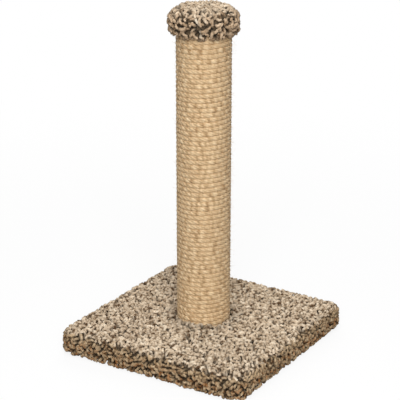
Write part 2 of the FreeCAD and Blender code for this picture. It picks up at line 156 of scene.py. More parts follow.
class Net:
    """A node tree, with one method that adds any node and a few short names for common ones."""

    def __init__(self, tree, material=None):
        self.tree = tree
        self.material = material
        self.ids = {}

    def find(self, sockets, key):
        if isinstance(key, int):
            return sockets[key]
        return next(s for s in sockets if s.enabled and key in (None, s.name))

    def feed(self, socket, value):
        if isinstance(value, Term):
            self.tree.links.new(value.socket, socket)
        elif isinstance(value, list):
            for each in value:
                self.feed(socket, each)
        else:
            socket.default_value = value

    def node(self, kind, sockets=None, out=None, **settings):
        """Adds a node, sets what it is, then the values or links of its sockets."""
        made = self.tree.nodes.new(kind)
        for key, value in settings.items():
            if key == "stops":
                self.set_stops(made.color_ramp, value)
            else:
                setattr(made, key, value)
        for key, value in (sockets or {}).items():
            self.feed(self.find(made.inputs, key), value)
        return Term(self, self.find(made.outputs, out))

    def set_stops(self, ramp, stops):
        while len(ramp.elements) < len(stops):
            ramp.elements.new(1.0)
        for element, (place, colour) in zip(ramp.elements, stops):
            element.position = place
            element.color = (*colour, 1.0)

    def arithmetic(self, operation, first, second):
        vectors = [isinstance(x, Term) and x.is_vector() or isinstance(x, (tuple, Vector))
                   for x in (first, second)]
        if not any(vectors):
            return self.maths(operation, first, second)
        if operation == "MULTIPLY" and not all(vectors):
            vector, scale = (first, second) if vectors[0] else (second, first)
            sockets = {0: vector, "Scale": scale}
            return self.node("ShaderNodeVectorMath", sockets, operation="SCALE")
        return self.vector(operation, first, second)

    def maths(self, operation, *values):
        return self.node("ShaderNodeMath", dict(enumerate(values)), operation=operation)

    def vector(self, operation, *values):
        return self.node("ShaderNodeVectorMath", dict(enumerate(values)), operation=operation)

    def point(self, x, y, z):
        return self.node("ShaderNodeCombineXYZ", {0: x, 1: y, 2: z})

    def parts(self, vector):
        first = self.node("ShaderNodeSeparateXYZ", {0: vector})
        return first, first.beside("Y"), first.beside("Z")

    def smooth(self, value, low, high, start=0.0, end=1.0):
        """value eased from start to end as it goes from low to high."""
        limits = {"From Min": low, "From Max": high, "To Min": start, "To Max": end}
        return self.node(
            "ShaderNodeMapRange", {"Value": value, **limits}, interpolation_type="SMOOTHSTEP")

    def noise(self, vector, scale, detail=2.0, roughness=0.5, out=None):
        sockets = {"Vector": vector, "Scale": scale, "Detail": detail, "Roughness": roughness}
        return self.node("ShaderNodeTexNoise", sockets, out)

    def wobble(self, vector, scale, detail=1.0):
        """Noise in three directions, about zero."""
        return self.noise(vector, scale, detail, out="Color") - (0.5, 0.5, 0.5)

    def line_noise(self, place, scale, detail=1.0):
        sockets = {"W": place, "Scale": scale, "Detail": detail}
        return self.node("ShaderNodeTexNoise", sockets, noise_dimensions="1D")

    def mix(self, share, first, second):
        sockets = {0: share, 6: first, 7: second}
        return self.node("ShaderNodeMix", sockets, 2, data_type="RGBA")

    def mix_shaders(self, share, first, second):
        return self.node("ShaderNodeMixShader", {0: share, 1: first, 2: second})

    def ramp(self, value, stops):
        return self.node("ShaderNodeValToRGB", {"Fac": value}, stops=stops)

    def random(self, low, high, seed, data_type="FLOAT"):
        sockets = {"Min": low, "Max": high, "Seed": seed}
        return self.node("FunctionNodeRandomValue", sockets, data_type=data_type)

    def store(self, geometry, name, value, data_type="FLOAT", domain="POINT"):
        sockets = {"Geometry": geometry, "Name": name, "Value": value}
        return self.node(
            "GeometryNodeStoreNamedAttribute", sockets, data_type=data_type, domain=domain)

    def section(self, sides):
        """A round section of radius 1, whose points keep their places on it as the lap."""
        ring = self.node("GeometryNodeCurvePrimitiveCircle", {"Resolution": sides, "Radius": 1.0})
        return self.store(ring, "lap", self.node("GeometryNodeInputPosition"), "FLOAT_VECTOR")

    def tube(self, curve, section, scale):
        sockets = {"Curve": curve, "Profile Curve": section, "Scale": scale, "Fill Caps": True}
        return self.node("GeometryNodeCurveToMesh", sockets)

    def end(self, kind, value):
        self.feed(self.tree.nodes.new(kind).inputs[0], value)

    def beside_seam(self, x, y, bearing):
        """How far a place lies from a bearing's line, and 1 on the side that the bearing faces."""
        seam_x, seam_y = self.maths("COSINE", bearing), self.maths("SINE", bearing)
        aside = self.maths("ABSOLUTE", x * seam_y - y * seam_x)
        return aside, x * seam_x + y * seam_y > 0.0


# ---------- making and keeping


def open_form(name, sizes):
    """A Geometry Nodes tree with named inputs, and its inputs as terms."""
    tree = bpy.data.node_groups.new(name, "GeometryNodeTree")
    net = Net(tree)
    tree.interface.new_socket("Surface", in_out="INPUT", socket_type="NodeSocketGeometry")
    for label, value in sizes.items():
        kind = "NodeSocketInt" if isinstance(value, int) else "NodeSocketFloat"
        item = tree.interface.new_socket(label, in_out="INPUT", socket_type=kind)
        item.default_value = value
        net.ids[label] = item.identifier
    tree.interface.new_socket("Form", in_out="OUTPUT", socket_type="NodeSocketGeometry")
    inlet = tree.nodes.new("NodeGroupInput")
    return net, {label: Term(net, inlet.outputs[label]) for label in ["Surface", *sizes]}


def close_form(net, geometry, material):
    smooth = net.node("GeometryNodeSetShadeSmooth", {"Geometry": geometry})
    real = net.node("GeometryNodeRealizeInstances", {"Geometry": smooth})
    finished = net.node("GeometryNodeSetMaterial", {"Geometry": real, "Material": material})
    net.end("NodeGroupOutput", finished)


def keep_form(name, net, sizes, mesh=None):
    """Runs a tree on a mesh and keeps the result as a plain mesh object."""
    piece = bpy.data.objects.new(name, mesh or bpy.data.meshes.new(name))
    bpy.context.scene.collection.objects.link(piece)
    form = piece.modifiers.new("form", "NODES")
    form.node_group = net.tree
    for label, value in sizes.items():
        form[net.ids[label]] = value
    graph = bpy.context.evaluated_depsgraph_get()
    plain = bpy.data.meshes.new_from_object(
        piece.evaluated_get(graph), preserve_all_data_layers=True, depsgraph=graph
    )
    piece.modifiers.clear()
    piece.data = plain
    plain.name = name
    return piece


def rounded_square(half, radius, level, corner_steps=6, side_steps=8):
    """Points round a square with round corners, anticlockwise from above."""
    straight = half - radius
    quarter = [Vector((half, -straight + 2 * straight * i / side_steps)) for i in range(side_steps)]
    for i in range(corner_steps):
        angle = TURN / 4 * i / corner_steps
        corner = Vector((math.cos(angle), math.sin(angle))) * radius
        quarter.append(Vector((straight, straight)) + corner)
    points = []
    for side in range(4):
        c, s = round(math.cos(TURN / 4 * side)), round(math.sin(TURN / 4 * side))
        points += [Vector((p.x * c - p.y * s, p.x * s + p.y * c, level)) for p in quarter]
    return points


def circle(radius, level, angles):
    return [Vector((radius * math.cos(a), radius * math.sin(a), level)) for a in angles]


def even_angles(count):
    return [TURN * i / count for i in range(count)]


def arc_rows(inset, level, radius, first, last, steps):
    """(inset, level) of points on an arc about a centre, from one lean to another, in turns."""
    rows = []
    for i in range(steps + 1):
        lean = TURN * (first + (last - first) * i / steps)
        rows.append((inset + radius * math.cos(lean), level + radius * math.sin(lean)))
    return rows


def skin(name, rings, closed=False):
    """A mesh through rings of points, each ring as long as the next."""
    count = len(rings[0])
    points = [p for ring in rings for p in ring]
    faces = []
    last = len(rings) if closed else len(rings) - 1
    for i in range(last):
        here, there = i * count, (i + 1) % len(rings) * count
        for j in range(count):
            k = (j + 1) % count
            faces.append((here + j, here + k, there + k, there + j))
    mesh = bpy.data.meshes.new(name)
    mesh.from_pydata(points, [], faces)
    mesh.update()
    return mesh


def as_object(name, mesh, material, smooth=True):
    mesh.materials.append(material)
    mesh.polygons.foreach_set("use_smooth", [smooth] * len(mesh.polygons))
    piece = bpy.data.objects.new(name, mesh)
    bpy.context.scene.collection.objects.link(piece)
    return piece


def stands_for(piece, node):
    """The piece moves with the post, and the CAD solid that it stands for is hidden."""
    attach(piece, "root")
    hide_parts(node)
    return piece


def new_material(name):
    """The net of a new material that has no nodes yet."""
    material = bpy.data.materials.new(name)
    material.use_nodes = True
    material.node_tree.nodes.clear()
    return Net(material.node_tree, material)


def close_material(net, constants, **varying):
    """Ends in one Principled shader, with fixed numbers on its sockets and what varies linked."""
    sockets = {**constants, **{key.replace("_", " "): value for key, value in varying.items()}}
    shader = net.node("ShaderNodeBsdfPrincipled", sockets)
    net.end("ShaderNodeOutputMaterial", shader)
    return net.material


def object_place(net):
    return net.node("ShaderNodeTexCoord", out="Object")


def attribute(net, name, out="Fac"):
    return net.node("ShaderNodeAttribute", out=out, attribute_name=name)


def bump(net, height, strength, distance):
    sockets = {"Height": height, "Strength": strength, "Distance": distance}
    return net.node("ShaderNodeBump", sockets)


# ---------- settings


def field(kind, **options):
    """A function that makes one kind of setting from its name, description and default."""
    def make(name, description, default):
        return kind(name=name, description=description, default=default, **options)
    return make


length_field = field(FloatProperty, unit="LENGTH", precision=4)
angle_field = field(FloatProperty, subtype="ANGLE")
number_field = field(FloatProperty)
count_field = field(IntProperty, min=48, max=180)
colour_field = field(FloatVectorProperty, subtype="COLOR")


class CarpetSettings(bpy.types.PropertyGroup):
    tuft_spacing: length_field(
        "Tuft spacing", "Least distance between two tufts on the base", 5.3 * MM)
    tuft_radius: length_field("Yarn radius", "Half the thickness of a tuft's yarn", 3.5 * MM)
    cap_tuft_spacing: length_field(
        "Cap tuft spacing", "Least distance between two tufts on the cap", 5.7 * MM)
    cap_tuft_radius: length_field(
        "Cap yarn radius", "Half the thickness of a cap tuft's yarn", 3.5 * MM)
    backing: length_field("Backing thickness", "Thickness of the woven backing", 3.0 * MM)
    dark_brown: colour_field("Dark brown", "Darkest yarn", paint(98, 74, 52))
    grey_brown: colour_field("Grey brown", "Second darkest yarn", paint(172, 150, 124))
    beige: colour_field("Beige", "Commonest yarn", paint(208, 187, 160))
    sand: colour_field("Sand", "Warmer pale yarn", paint(222, 202, 176))
    cream: colour_field("Cream", "Palest yarn", paint(240, 223, 198))
    cut_ends: colour_field(
        "Cut ends", "Yarn where the cap's strip meets end to end", paint(238, 230, 212))
    rust: colour_field("Rust", "Reddish yarn low on the base's sides", paint(186, 132, 84))
    jute: colour_field("Backing", "Woven backing", paint(120, 102, 80))


class RopeSettings(bpy.types.PropertyGroup):
    pitch: length_field("Turn pitch", "Rise of the rope in one turn round the tube", 9.0 * MM)
    strand_radius: length_field(
        "Strand radius", "Half the thickness of one of the three strands", 2.9 * MM)
    strand_offset: length_field(
        "Strand offset", "Distance of a strand's middle from the rope's middle", 2.4 * MM)
    lay: length_field("Lay length", "Length of rope in which a strand goes round once", 31.0 * MM)
    steps_per_turn: count_field(
        "Steps per turn", "Sections of a strand in one turn round the tube", 142)
    straw: colour_field("Straw", "Palest fibres", paint(238, 212, 172))
    sisal: colour_field("Sisal", "Commonest fibres", paint(212, 180, 138))
    tan: colour_field("Tan", "Darkest fibres", paint(168, 132, 92))


class StageSettings(bpy.types.PropertyGroup):
    azimuth: angle_field("Azimuth", "Camera's bearing from the front", math.radians(32.05))
    elevation: angle_field("Elevation", "Camera's height above the horizon", math.radians(19.6))
    distance: length_field("Distance", "Camera to the point that it looks at", 2.633)
    lens: number_field("Lens", "Focal length in millimetres", 125.7)
    target_height: length_field(
        "Target height", "Level of the point that the camera looks at", 0.2875)
    target_aside: length_field(
        "Target aside", "How far right of the post's axis the camera looks", -0.0071)
    floor: colour_field("Floor", "Colour of the floor", (0.3, 0.3, 0.3))
    front_power: number_field("Front lamp", "Watts of the soft lamp behind the camera", 88.0)
    top_power: number_field("Top lamp", "Watts of the soft lamp over the post", 26.0)
    back_power: number_field("Back lamp", "Watts of the soft lamp behind the post", 34.0)
    sky: number_field("Sky", "Strength of the even light from all round", 0.10)


# ---------- finishes


def yarn_material(carpet, name, spots, root_light, painted_side_shade):
    """Twisted two-ply yarn, each tuft its own shade of colour, with painted shade darkening its
    root, the grooves between its plies and the tufts on the sides.

    spots is how much its colour changes over a few tufts, and root_light the painted light left at
    its root. Where the cap's strip meets end to end, its cut ends show paler. Low on the base some
    tufts are rust, and round the post's foot a painted shadow of the post darkens all of them.
    """
    net = new_material(name)
    place = object_place(net)
    shade = attribute(net, "shade")
    rise = attribute(net, "rise")
    along = attribute(net, "along")
    across, beyond, _ = net.parts(attribute(net, "lap", "Vector"))
    fleck = net.noise(place, 125.0, 1.0)
    choice = 0.5 + (shade - 0.5) * 0.4 + (fleck - 0.5) * spots
    colour = net.ramp(choice, [
        (0.12, carpet.dark_brown), (0.28, carpet.grey_brown), (0.48, carpet.beige),
        (0.68, carpet.sand), (0.90, carpet.cream)])
    x, y, level = net.parts(place)
    aside, this_side = net.beside_seam(x, y, SEAM_BEARING + (SEAM_LEVEL - level) * SEAM_LEAN)
    pale = net.smooth(aside, 1.5 * MM, 4.0 * MM, 0.8, 0.0) * this_side
    pale = pale * (level > STRIP_LOW.z) * (level < STRIP_HIGH.z - 6 * MM)
    colour = net.mix(pale, colour, (*carpet.cut_ends, 1.0))
    low = net.smooth(level, 15 * MM, 45 * MM, 1.0, 0.0)
    rusty = net.smooth(net.noise(place, 110.0, 1.0), 0.48, 0.62) * low * 0.7
    colour = net.mix(rusty, colour, (*carpet.rust, 1.0))
    plies, twist_length = 2.0, 5.0 * MM
    turned = net.maths("ARCTAN2", beyond, across) * plies + along * (TURN / twist_length)
    # Painted shade in the grooves between the plies; the same wave also raises the yarn's bump.
    groove_shade_and_relief = net.smooth(net.maths("SINE", turned), -1.0, 0.2, 0.93, 1.0)
    _, _, upward = net.parts(attribute(net, "outward", "Vector"))
    # How much a tuft faces up; it sets the painted shade on the sides and at the roots.
    facing_up = net.smooth(upward, 0.3, 0.9)
    # Painted shade: roots deep in the pile are darker, and darker still on the sides.
    depth = net.smooth(rise, 0.10, 0.75, root_light * (0.45 + facing_up * 0.55), 1.0)
    out = net.maths("SQRT", x * x + y * y)
    # Painted shadow of the post: the base's pile round its foot is darker.
    foot = net.smooth(out, FOOT_HOLE + 1 * MM, FOOT_HOLE + 39 * MM, 0.72, 1.0)
    foot = net.maths("MAXIMUM", foot, level > 2 * CARPET_HIGH.z)
    # Painted shade at the roots and in the ply grooves, and the post's painted shadow, darken the
    # colour.
    colour = colour * (groove_shade_and_relief * depth * foot)
    # Painted shade: tufts on the sides, facing away from the top, take a darker colour.
    colour = net.mix(facing_up, colour * painted_side_shade, colour)
    fibre = net.noise(place, 2600.0, 2.0)
    height = groove_shade_and_relief + fibre * 0.5
    constants = {"Sheen Weight": 0.04, "Sheen Roughness": 0.5, "Specular IOR Level": 0.1,
                 "Roughness": 0.95}
    return close_material(
        net, constants, Base_Color=colour, Normal=bump(net, height, 0.25, 0.4 * MM))


def backing_material(carpet):
    """Woven jute, stained in patches."""
    net = new_material("carpet_backing")
    place = object_place(net)
    x, y, z = net.parts(place)
    thread = TURN / (2.2 * MM)
    weave = net.maths("SINE", (x + z) * thread) * net.maths("SINE", (y + z) * thread)
    stain = net.noise(place, 60.0, 3.0)
    jute = tuple(carpet.jute)
    dark = tuple(c * 0.45 for c in jute)
    colour = net.ramp(weave * 0.25 + 0.25 + stain * 0.5, [(0.2, dark), (0.8, jute)])
    return close_material(
        net, {"Roughness": 0.9, "Specular IOR Level": 0.2},
        Base_Color=colour, Normal=bump(net, weave, 0.6, 0.3 * MM))


def sisal_material(rope):
    """Sisal strands: straight fibres along the strand in straw, gold and tan."""
    net = new_material("sisal_strand")
    along = attribute(net, "along")
    across, beyond, _ = net.parts(attribute(net, "lap", "Vector"))
    radius = rope.strand_radius
    fibre_place = net.point(across * radius, beyond * radius, along * 0.05)
    fibre = net.noise(fibre_place, 2300.0, 3.0, 0.6)
    coarse = net.noise(fibre_place, 800.0, 2.0)
    length = net.line_noise(along, 110.0, 2.0)
    choice = fibre * 0.30 + coarse * 0.25 + length * 0.45
    colour = net.ramp(choice, [
        (0.34, rope.tan), (0.47, rope.sisal), (0.62, rope.straw)])
    constants = {"Sheen Weight": 0.05, "Specular IOR Level": 0.2}
    return close_material(
        net, constants, Base_Color=colour, Roughness=net.smooth(fibre, 0.2, 0.8, 0.85, 0.62),
        Normal=bump(net, fibre, 0.55, 0.35 * MM))


def fibre_material(rope):
    """Loose sisal fibres that stand off the rope."""
    net = new_material("sisal_fibre")
    tone = attribute(net, "shade")
    colour = net.ramp(tone, [(0.0, rope.sisal), (1.0, rope.straw)])
    return close_material(net, {"Roughness": 0.6, "Specular IOR Level": 0.3}, Base_Color=colour)


def particle_board_material():
    """Pressed wood chips on the faces, and a coarser core on the sawn edges."""
    net = new_material("particle_board_chips")
    place = object_place(net)
    warped = place + net.wobble(place, 90.0, 2.0) * 0.012
    stretched = net.vector("MULTIPLY", warped, (1.0, 0.55, 1.0))
    chip = net.node("ShaderNodeTexVoronoi", {"Vector": stretched, "Scale": 260.0}, "Color")
    tone, other, _ = net.parts(chip)
    dust = net.noise(place, 900.0, 3.0)
    choice = tone * 0.6 + other * 0.2 + dust * 0.2
    colour = net.ramp(choice, [
        (0.12, paint(120, 86, 54)), (0.35, paint(168, 130, 88)), (0.62, paint(196, 162, 118)),
        (0.90, paint(220, 192, 150))])
    return close_material(
        net, {"Specular IOR Level": 0.3}, Base_Color=colour,
        Roughness=0.62 + dust * 0.25, Normal=bump(net, tone + dust, 0.25, 0.3 * MM))


def paperboard_material():
    """Spirally wound kraft paper, with the joint of each ply and fine pulp flecks."""
    net = new_material("kraft_paperboard")
    place = object_place(net)
    x, y, z = net.parts(place)
    turned = net.maths("ARCTAN2", y, x) / TURN
    ply = net.maths("FRACT", z / 0.11 + turned)
    joint = net.smooth(net.maths("ABSOLUTE", ply - 0.5), 0.485, 0.498)
    pulp = net.noise(net.vector("MULTIPLY", place, (1.0, 1.0, 0.3)), 420.0, 4.0)
    colour = net.ramp(pulp - joint * 0.25, [
        (0.25, paint(122, 96, 68)), (0.55, paint(168, 138, 102)), (0.80, paint(190, 162, 124))])
    return close_material(
        net, {"Specular IOR Level": 0.25}, Base_Color=colour,
        Roughness=0.7 + pulp * 0.2, Normal=bump(net, pulp - joint, 0.3, 0.2 * MM))


def plug_wood_material():
    """Plywood: rings of grain on the faces and plies on the edge."""
    net = new_material("plug_plywood")
    place = object_place(net)
    x, y, z = net.parts(place)
    bent = net.noise(place, 14.0, 2.0)
    grain = net.noise(net.point(x * 260.0 + bent * 4.0, y * 16.0, z * 200.0), 1.0, 4.0, 0.6)
    ply = net.smooth(net.maths("SINE", z * (TURN / (6.0 * MM))), -0.25, 0.25, 0.78, 1.0)
    colour = net.ramp(grain, [
        (0.30, paint(170, 128, 84)), (0.52, paint(212, 176, 128)), (0.75, paint(230, 200, 156))])
    return close_material(
        net, {"Specular IOR Level": 0.3}, Base_Color=colour * ply,
        Roughness=0.55 + grain * 0.25, Normal=bump(net, grain, 0.2, 0.2 * MM))


def plated_steel_material():
    """Bright zinc plate with a faint yellow cast, rubbed and spotted."""
    net = new_material("zinc_plate")
    place = object_place(net)
    cloud = net.noise(place, 120.0, 3.0)
    scratch = net.noise(net.vector("MULTIPLY", place, (1.0, 1.0, 14.0)), 500.0, 3.0)
    colour = net.ramp(cloud, [
        (0.30, paint(176, 174, 166)), (0.55, paint(204, 203, 198)), (0.80, paint(214, 208, 188))])
    return close_material(
        net, {"Metallic": 1.0}, Base_Color=colour,
        Roughness=net.smooth(cloud + scratch * 0.4, 0.3, 1.0, 0.24, 0.48),
        Normal=bump(net, scratch, 0.12, 0.1 * MM))


def staple_steel_material():
    """Drawn staple wire, with a dull grey coat."""
    net = new_material("staple_wire")
    place = object_place(net)
    drawn = net.noise(net.vector("MULTIPLY", place, (0.4, 0.4, 3.0)), 900.0, 2.0)
    colour = net.ramp(drawn, [(0.3, paint(150, 150, 150)), (0.7, paint(200, 200, 200))])
    return close_material(
        net, {"Metallic": 1.0}, Base_Color=colour,
        Roughness=net.smooth(drawn, 0.2, 0.8, 0.3, 0.5), Normal=bump(net, drawn, 0.1, 0.1 * MM))


def finish_nodes(material, *names):
    for name in names:
        for place in frame["nodes"][name].material_slots:
            place.material = material


# ---------- rope


def strand_form(material):
    """One strand of a right-laid rope that climbs the tube in close turns."""
    net, size = open_form("rope_strand_form", {
        "Turns": 66.0, "Pitch": 0.009, "Path radius": 0.0475, "Start angle": 1.7,
        "Start height": 0.038, "Strand radius": 0.0023, "Strand offset": 0.0021,
        "Lay length": 0.03, "Phase": 0.0, "Pressed flat": PRESSED_FLAT, "Steps": 9000})
    line = net.node("GeometryNodeCurvePrimitiveLine", {"Start": (0, 0, 0), "End": (0, 0, 1)})
    line = net.node("GeometryNodeResampleCurve", {"Curve": line, "Count": size["Steps"]})
    share = net.node("GeometryNodeSplineParameter")
    turns = share * size["Turns"]
    angle = size["Start angle"] + turns * TURN
    around = size["Path radius"] * TURN
    length_per_turn = net.maths("SQRT", around * around + size["Pitch"] * size["Pitch"])
    along = turns * length_per_turn
    uneven = (net.line_noise(along + size["Phase"], 14.0, 2.0) - 0.5) * 1.5
    phase = size["Phase"] + along * TURN / size["Lay length"] + uneven
    cosine, sine = net.maths("COSINE", angle), net.maths("SINE", angle)
    outward = net.point(cosine, sine, 0.0)
    rise = size["Pitch"] / around
    aside = net.point(sine * rise * -1.0, cosine * rise, -1.0)
    sway = net.noise(net.point(cosine * 1.5, sine * 1.5, turns * 0.35), 1.0, 1.0) - 0.5
    level = size["Start height"] + turns * size["Pitch"] + sway * (1.2 * MM)
    pressed = size["Strand offset"] * size["Pressed flat"]
    reach = size["Path radius"] + pressed * net.maths("COSINE", phase)
    place = (outward * reach + aside * (size["Strand offset"] * net.maths("SINE", phase))
             + net.point(0.0, 0.0, level))
    curve = net.store(line, "along", along)
    curve = net.node("GeometryNodeSetPosition", {"Geometry": curve, "Position": place})
    swell = 0.94 + net.line_noise(along, 60.0, 1.0) * 0.12
    strand = net.tube(curve, net.section(8), size["Strand radius"] * swell)
    close_form(net, strand, material)
    return net


def fibre_form(material):
    """Short loose fibres that lie along the turns and lift off them."""
    net, size = open_form("loose_fibre_form", {
        "Fibres per area": 8000.0, "Fibre length": 0.009, "Fibre radius": 0.00013, "Seed": 5})
    points = net.node("GeometryNodeDistributePointsOnFaces", {
        "Mesh": size["Surface"], "Density": size["Fibres per area"], "Seed": size["Seed"],
    }, distribute_method="RANDOM")
    outward = points.beside("Normal")
    x, y, _ = net.parts(outward)
    tangent = net.point(y * -1.0, x, 0.0)
    left, up, lift = net.parts(net.random((-1, -1, 0), (1, 1, 1), 3, "FLOAT_VECTOR"))
    heading = tangent * left + net.point(0.0, 0.0, up * 0.55) + outward * (0.12 + lift * 0.45)
    turned = net.node("FunctionNodeAlignRotationToVector", {"Vector": heading}, axis="Z")
    length = size["Fibre length"]
    curve = net.node("GeometryNodeCurvePrimitiveBezierSegment", {
        "Resolution": 4, "Start": (0, 0, 0),
        "Start Handle": net.point(0.0, 0.0, length * 0.4),
        "End Handle": net.point(length * 0.12, 0.0, length * 0.7),
        "End": net.point(length * 0.3, length * 0.06, length)})
    section = net.node("GeometryNodeCurvePrimitiveCircle", {"Resolution": 3, "Radius": 1.0})
    thin = size["Fibre radius"] * (1.0 - 0.6 * net.node("GeometryNodeSplineParameter"))
    fibres = net.node("GeometryNodeInstanceOnPoints", {
        "Points": points, "Instance": net.tube(curve, section, thin), "Rotation": turned,
        "Scale": net.random(0.5, 1.4, 8)})
    fibres = net.store(fibres, "shade", net.random(0.0, 1.0, 12), domain="INSTANCE")
    close_form(net, fibres, material)
    return net


class SCRATCHER_OT_rope(bpy.types.Operator):
    """Winds the three-strand sisal rope round the post's tube, with its loose fibres"""
    bl_idname = "scratcher.rope"
    bl_label = "Sisal rope"

    def execute(self, context):
        rope = context.scene.scratcher_rope
        material = sisal_material(rope)
        rope_radius = rope.strand_radius + rope.strand_offset
        start_height = ROPE_LOW.z + rope_radius
        climb = ROPE_HIGH.z - rope_radius - start_height
        turns = climb / rope.pitch
        path_radius = ROPE_OUTER - rope.strand_radius - PRESSED_FLAT * rope.strand_offset
        net = strand_form(material)
        for i, name in enumerate(("a", "b", "c")):
            piece = keep_form(f"rope_strand_{name}", net, {
                "Turns": turns, "Pitch": rope.pitch, "Path radius": path_radius,
                "Start angle": ROPE_START, "Start height": start_height,
                "Strand radius": rope.strand_radius, "Strand offset": rope.strand_offset,
                "Lay length": rope.lay, "Phase": TURN * i / 3,
                "Steps": int(turns * rope.steps_per_turn),
            })
            stands_for(piece, "sisal_rope")
        angles = even_angles(96)
        sleeve = skin("rope_sleeve", [
            circle(ROPE_OUTER - 0.6 * MM, level, angles)
            for level in (CARPET_HIGH.z + 2 * MM, STRIP_LOW.z)])
        fibres = keep_form("rope_fibres", fibre_form(fibre_material(rope)), {"Seed": 5}, sleeve)
        stands_for(fibres, "sisal_rope")
        return {"FINISHED"}


# ---------- carpet

CURLS = (  # start handle, end handle and tip of a tuft, as shares of its reach and rise
    ((-0.90, 0.10, 1.3), (0.30, -0.50, 1.7), (1.20, 0.20, 0.30)),
    ((-0.70, -0.60, 1.2), (0.50, -0.80, 1.5), (0.90, 0.70, 0.40)),
    ((0.20, 0.80, 1.3), (-0.70, 0.40, 1.7), (-0.90, -0.80, 0.20)),
    ((0.60, 0.30, 0.9), (-0.60, 0.90, 1.6), (-0.50, -0.60, 0.70)),
    ((0.00, -0.90, 1.4), (0.80, 0.20, 1.5), (0.10, 1.10, 0.10)),
)


def pile_form(material, staples):
    """Twisted tufts that stand all over a surface, parted round the staples."""
    net, size = open_form("carpet_pile_form", {
        "Tuft spacing": 0.0041, "Yarn radius": 0.0018, "Root depth": 0.009, "Tip rise": 0.005,
        "Curl": 0.005, "Lean": 0.35, "Ruffle": 0.0012, "Seed": 1, "Sector": -1,
        "Staple clearance": 0.007, "Mitre half width": 0.002, "Mitre top": 0.012,
        "Keep out radius": 0.0522, "Keep out height": 0.65, "Floor": 0.0002,
        "Seam angle": 0.0, "Seam half width": 0.0,
    })
    spacing = size["Tuft spacing"]
    points = net.node("GeometryNodeDistributePointsOnFaces", {
        "Mesh": size["Surface"], "Distance Min": spacing, "Density Max": 1.6 / (spacing * spacing),
        "Seed": size["Seed"],
    }, distribute_method="POISSON")
    normal = points.beside("Normal")
    place = net.node("GeometryNodeInputPosition")
    x, y, z = net.parts(place)
    quarters = net.maths("ARCTAN2", y, x) / TURN * 4 + 4.5
    sector = net.maths("FLOOR", net.maths("MODULO", quarters, 4.0))
    other_sector = net.maths("ABSOLUTE", sector - size["Sector"]) > 0.5
    other_sector = other_sector * (size["Sector"] > -0.5)
    from_mitre = net.maths("ABSOLUTE", net.maths("ABSOLUTE", x) - net.maths("ABSOLUTE", y))
    in_mitre = (from_mitre < size["Mitre half width"] * 1.414) * (z < size["Mitre top"])
    steel = net.node(
        "GeometryNodeObjectInfo", {"Object": staples}, "Geometry", transform_space="ORIGINAL")
    near = net.node("GeometryNodeProximity", {
        "Geometry": steel, "Sample Position": place}, "Distance", target_element="FACES")
    at_staple = near < size["Staple clearance"]
    aside, this_side = net.beside_seam(x, y, size["Seam angle"])
    at_seam = (aside < size["Seam half width"]) * this_side
    bare = net.maths("MAXIMUM", net.maths("MAXIMUM", other_sector, in_mitre),
                     net.maths("MAXIMUM", at_staple, at_seam))
    points = net.store(points, "outward", normal, "FLOAT_VECTOR")
    points = net.node("GeometryNodeDeleteGeometry", {
        "Geometry": points, "Selection": bare > 0.5}, domain="POINT")
    outward = net.node(
        "GeometryNodeInputNamedAttribute", {"Name": "outward"}, data_type="FLOAT_VECTOR")
    brushed = net.wobble(place, 22.0)
    stray = net.random((-0.5, -0.5, -0.5), (0.5, 0.5, 0.5), 21, "FLOAT_VECTOR")
    heading = outward + (brushed * 2.0 + stray) * size["Lean"]
    spun = net.node("FunctionNodeAxisAngleToRotation", {
        "Axis": (0, 0, 1), "Angle": net.random(0.0, TURN, 31)})
    turned = net.node(
        "FunctionNodeAlignRotationToVector", {"Rotation": spun, "Vector": heading}, axis="Z")
    share = net.node("GeometryNodeSplineParameter")
    taper = 0.8 + 0.25 * share - 0.35 * (share ** 8.0)
    section = net.section(5)

    def reached(along, beside, up):
        return net.point(size["Curl"] * along, size["Curl"] * beside, size["Tip rise"] * up)

    tufts = []
    for start_handle, end_handle, tip in CURLS:
        curve = net.node("GeometryNodeCurvePrimitiveBezierSegment", {
            "Resolution": 5, "Start": net.point(0.0, 0.0, size["Root depth"] * -1.0),
            "Start Handle": reached(*start_handle), "End Handle": reached(*end_handle),
            "End": reached(*tip)})
        curve = net.store(curve, "rise", share)
        curve = net.store(curve, "along", share.beside("Length"))
        tuft = net.tube(curve, section, size["Yarn radius"] * taper)
        tufts.append(net.node("GeometryNodeGeometryToInstance", {"Geometry": tuft}))
    choices = net.node("GeometryNodeJoinGeometry", {"Geometry": tufts})
    pile = net.node("GeometryNodeInstanceOnPoints", {
        "Points": points, "Instance": choices, "Pick Instance": True,
        "Instance Index": net.random(0, len(CURLS) - 1, 41, "INT"),
        "Rotation": turned, "Scale": net.random(0.85, 1.18, 51)})
    pile = net.store(pile, "shade", net.random(0.0, 1.0, 61), domain="INSTANCE")
    pile = net.node("GeometryNodeRealizeInstances", {"Geometry": pile})
    here = net.node("GeometryNodeInputPosition")
    ruffle = net.wobble(here, 150.0)
    height = net.node("GeometryNodeInputNamedAttribute", {"Name": "rise"}, data_type="FLOAT")
    pile = net.node("GeometryNodeSetPosition", {
        "Geometry": pile, "Offset": ruffle * (size["Ruffle"] * 2.0 * height)})
    here = net.node("GeometryNodeInputPosition")
    x, y, z = net.parts(here)
    radius = net.maths("SQRT", x * x + y * y)
    push = net.maths("MAXIMUM", size["Keep out radius"] / radius, 1.0)
    push = 1.0 + (push - 1.0) * (z < size["Keep out height"])
    kept = net.point(x * push, y * push, net.maths("MAXIMUM", z, size["Floor"]))
    pile = net.node("GeometryNodeSetPosition", {"Geometry": pile, "Position": kept})
    close_form(net, pile, material)
    return net


